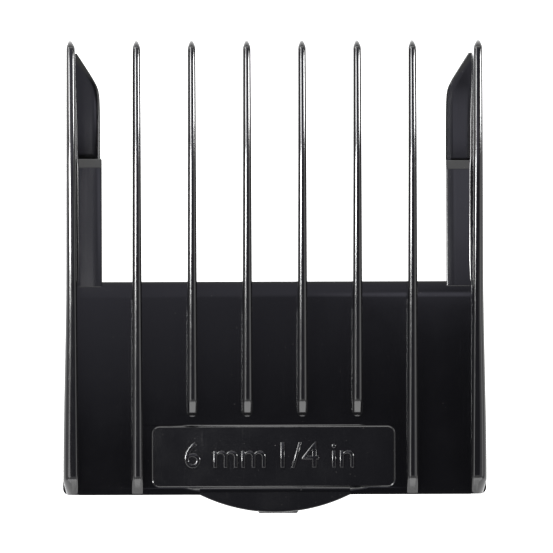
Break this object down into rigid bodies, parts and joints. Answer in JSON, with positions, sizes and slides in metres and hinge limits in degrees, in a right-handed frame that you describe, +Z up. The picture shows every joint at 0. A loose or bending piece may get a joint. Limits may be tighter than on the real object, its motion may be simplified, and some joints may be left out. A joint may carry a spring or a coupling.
{
  "type": "clipper guard comb",
  "caption": "Clip-on hair clipper guard comb: a gloss black moulding with long teeth, a blade pocket with side ledges and corner ears, and a springy rear latch with a thumb tab.",
  "frame": {"origin": "centre of the bounding box's bottom face, in the plane of the skirt rims that the comb rests on", "axes": "+Z up, towards the teeth's crests and the skin; +Y along the teeth towards their tips; +X to the right seen from above with the tips away from the viewer"},
  "size_m": [0.048, 0.0536, 0.01],
  "materials": {
    "gloss_black": "glossy moulded black plastic with fine handling scratches"
  },
  "bodies": {
    "comb": {"comb_plate": "gloss_black", "side_ledge_left": "gloss_black", "side_ledge_right": "gloss_black", "side_wall_left": "gloss_black", "side_wall_right": "gloss_black", "corner_ear_left": "gloss_black", "corner_ear_right": "gloss_black", "rear_wall_left": "gloss_black", "rear_wall_right": "gloss_black", "tooth_1": "gloss_black", "tooth_2": "gloss_black", "tooth_3": "gloss_black", "tooth_4": "gloss_black", "tooth_5": "gloss_black", "tooth_6": "gloss_black", "tooth_7": "gloss_black", "tooth_8": "gloss_black", "size_label": "gloss_black"},
    "latch": {"latch_tab": "gloss_black", "latch_tongue": "gloss_black", "latch_hook": "gloss_black", "thumb_lip": "gloss_black"}
  },
  "joints": [
    {"name": "latch_flex", "type": "hinge", "parent": "comb", "child": "latch", "pos_m": [0, -0.02445, 0.0056], "axis": [-1, 0, 0], "range_deg": [0, 12], "stiffness_Nm_per_rad": 0.06}
  ]
}
